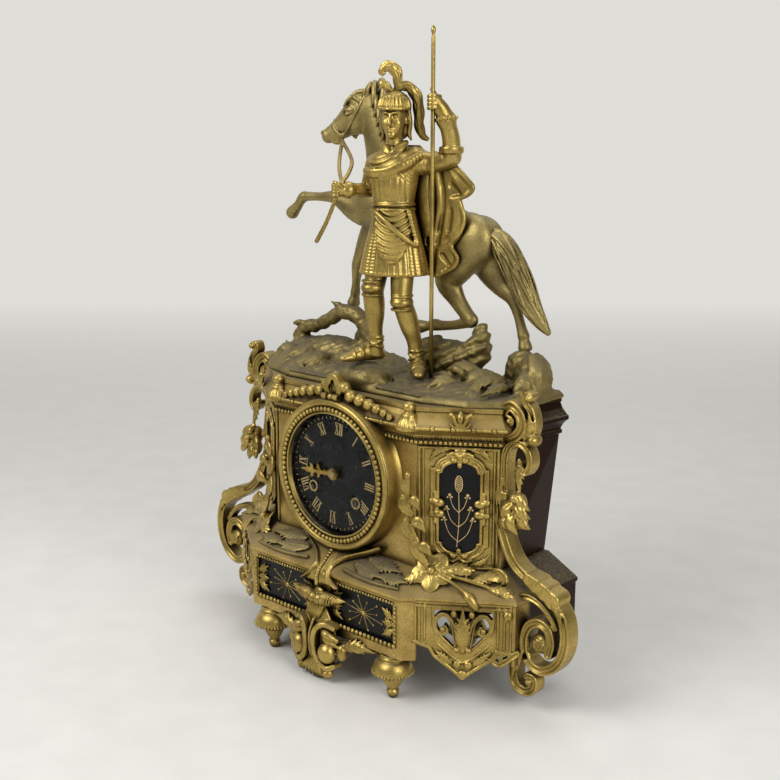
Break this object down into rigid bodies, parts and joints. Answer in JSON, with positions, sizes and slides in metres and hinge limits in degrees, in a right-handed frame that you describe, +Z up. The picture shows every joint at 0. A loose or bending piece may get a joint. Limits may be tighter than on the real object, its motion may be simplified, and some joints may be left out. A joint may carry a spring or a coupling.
{
  "type": "figural table clock",
  "caption": "Gilt figural table clock: shaped case with a round dial, black insets and side scrolls, under a knight with a lance beside a rearing horse.",
  "frame": {"origin": "middle of the bounding box on the table plane", "axes": "+Z up, the dial faces -Y, +X to the right as seen from the front"},
  "size_m": [0.3862, 0.136, 0.478],
  "materials": {
    "gilt_metal": "worn gilding over cast metal, dark in the recesses",
    "patinated_metal": "dull greenish brown cast metal",
    "black_slab": "black gloss",
    "brass": "satin",
    "steel": "satin",
    "clear_glass": "clear and polished"
  },
  "bodies": {
    "case": {"plinth_frame": "gilt_metal", "apron_right": "gilt_metal", "apron_left": "gilt_metal", "foot_front_right": "gilt_metal", "foot_front_left": "gilt_metal", "foot_rear_right": "gilt_metal", "foot_rear_left": "gilt_metal", "front_ornament": "gilt_metal", "drum_strap": "gilt_metal", "body_case": "gilt_metal", "cornice": "gilt_metal", "cartouche_right": "gilt_metal", "cartouche_left": "gilt_metal", "crest": "gilt_metal", "console_right": "gilt_metal", "console_left": "gilt_metal", "knight": "gilt_metal", "cloak": "gilt_metal", "lance": "gilt_metal", "plume": "gilt_metal", "rein": "gilt_metal", "spray_right": "gilt_metal", "spray_left": "gilt_metal", "terrace": "patinated_metal", "horse": "patinated_metal", "horse_tail": "patinated_metal", "panel_right": "black_slab", "panel_left": "black_slab", "inset_right": "black_slab", "inset_left": "black_slab", "dial": "black_slab", "front_plate": "brass", "back_plate": "brass", "suspension_cock": "brass", "bell": "brass", "bezel_pin": "steel", "rear_door_pin": "steel", "bell_post": "steel", "motion_stud": "steel"},
    "bezel": {"bezel": "gilt_metal", "bezel_glass": "clear_glass"},
    "rear_door": {"rear_door": "brass"},
    "going_barrel": {"going_barrel": "brass"},
    "strike_barrel": {"strike_barrel": "brass"},
    "going_arbor": {"going_arbor": "steel"},
    "strike_arbor": {"strike_arbor": "steel"},
    "centre_wheel": {"centre_wheel": "brass"},
    "second_wheel": {"second_wheel": "brass"},
    "third_wheel": {"third_wheel": "brass"},
    "escape_wheel": {"escape_wheel": "brass"},
    "anchor": {"anchor": "steel"},
    "pendulum": {"pendulum": "brass"},
    "pin_wheel": {"pin_wheel": "brass"},
    "fly": {"fly": "steel"},
    "count_wheel": {"count_wheel": "brass"},
    "hammer": {"hammer": "steel"},
    "minute_hand": {"minute_hand": "brass", "hand_collet": "brass"},
    "hour_hand": {"hour_hand": "brass"},
    "minute_wheel": {"minute_wheel": "brass"}
  },
  "joints": [
    {"name": "bezel_hinge", "type": "hinge", "parent": "case", "child": "bezel", "pos_m": [0, -0.0448, 0.2161], "axis": [-1, 0, 0], "range_deg": [0, 95]},
    {"name": "rear_door_hinge", "type": "hinge", "parent": "case", "child": "rear_door", "pos_m": [-0.0516, 0.0646, 0.1562], "axis": [0, 0, 1], "range_deg": [0, 110]},
    {"name": "minute_hand_turn", "type": "hinge", "parent": "case", "child": "minute_hand", "pos_m": [0, 0, 0.1562], "axis": [0, 1, 0], "continuous": true},
    {"name": "hour_hand_turn", "type": "hinge", "parent": "case", "child": "hour_hand", "pos_m": [0, 0, 0.1562], "axis": [0, 1, 0], "continuous": true},
    {"name": "minute_wheel_turn", "type": "hinge", "parent": "case", "child": "minute_wheel", "pos_m": [0.00123, 0, 0.16814], "axis": [0, 1, 0], "continuous": true},
    {"name": "third_wheel_turn", "type": "hinge", "parent": "case", "child": "third_wheel", "pos_m": [0.00779, 0, 0.16788], "axis": [0, 1, 0], "continuous": true},
    {"name": "centre_wheel_turn", "type": "hinge", "parent": "case", "child": "centre_wheel", "pos_m": [0, 0, 0.1562], "axis": [0, 1, 0], "continuous": true},
    {"name": "second_wheel_turn", "type": "hinge", "parent": "case", "child": "second_wheel", "pos_m": [0.00451, 0, 0.14221], "axis": [0, 1, 0], "continuous": true},
    {"name": "going_barrel_turn", "type": "hinge", "parent": "case", "child": "going_barrel", "pos_m": [0.02058, 0, 0.13729], "axis": [0, 1, 0], "continuous": true},
    {"name": "escape_wheel_turn", "type": "hinge", "parent": "case", "child": "escape_wheel", "pos_m": [0.00247, 0, 0.18007], "axis": [0, 1, 0], "continuous": true},
    {"name": "pin_wheel_turn", "type": "hinge", "parent": "case", "child": "pin_wheel", "pos_m": [-0.02532, 0, 0.15865], "axis": [0, 1, 0], "continuous": true},
    {"name": "strike_barrel_turn", "type": "hinge", "parent": "case", "child": "strike_barrel", "pos_m": [-0.02401, 0, 0.1419], "axis": [0, 1, 0], "continuous": true},
    {"name": "fly_turn", "type": "hinge", "parent": "case", "child": "fly", "pos_m": [-0.02406, 0, 0.17077], "axis": [0, 1, 0], "continuous": true},
    {"name": "count_wheel_turn", "type": "hinge", "parent": "case", "child": "count_wheel", "pos_m": [-0.02401, 0, 0.1419], "axis": [0, 1, 0], "continuous": true},
    {"name": "going_winding", "type": "hinge", "parent": "case", "child": "going_arbor", "pos_m": [0.02058, 0, 0.13729], "axis": [0, 1, 0], "continuous": true},
    {"name": "strike_winding", "type": "hinge", "parent": "case", "child": "strike_arbor", "pos_m": [-0.02401, 0, 0.1419], "axis": [0, 1, 0], "continuous": true},
    {"name": "pendulum_swing", "type": "hinge", "parent": "case", "child": "pendulum", "pos_m": [0.0038, 0, 0.193], "axis": [0, 1, 0], "range_deg": [-4, 4]},
    {"name": "anchor_rock", "type": "hinge", "parent": "case", "child": "anchor", "pos_m": [0.0038, 0, 0.193], "axis": [0, 1, 0], "range_deg": [-4, 4]},
    {"name": "hammer_lift", "type": "hinge", "parent": "case", "child": "hammer", "pos_m": [-0.03092, 0, 0.17799], "axis": [0, -1, 0], "range_deg": [0, 12]}
  ],
  "couplings": [
    {"joint": "hour_hand_turn", "follows": "minute_hand_turn", "ratio": 0.083333},
    {"joint": "minute_wheel_turn", "follows": "minute_hand_turn", "ratio": -0.33333},
    {"joint": "centre_wheel_turn", "follows": "third_wheel_turn", "ratio": -0.083333},
    {"joint": "second_wheel_turn", "follows": "third_wheel_turn", "ratio": 0.013889},
    {"joint": "going_barrel_turn", "follows": "third_wheel_turn", "ratio": -0.0023148},
    {"joint": "escape_wheel_turn", "follows": "third_wheel_turn", "ratio": -10.667},
    {"joint": "strike_barrel_turn", "follows": "pin_wheel_turn", "ratio": -0.16667},
    {"joint": "count_wheel_turn", "follows": "pin_wheel_turn", "ratio": -0.16667},
    {"joint": "fly_turn", "follows": "pin_wheel_turn", "ratio": -6},
    {"joint": "anchor_rock", "follows": "pendulum_swing", "ratio": 1}
  ]
}
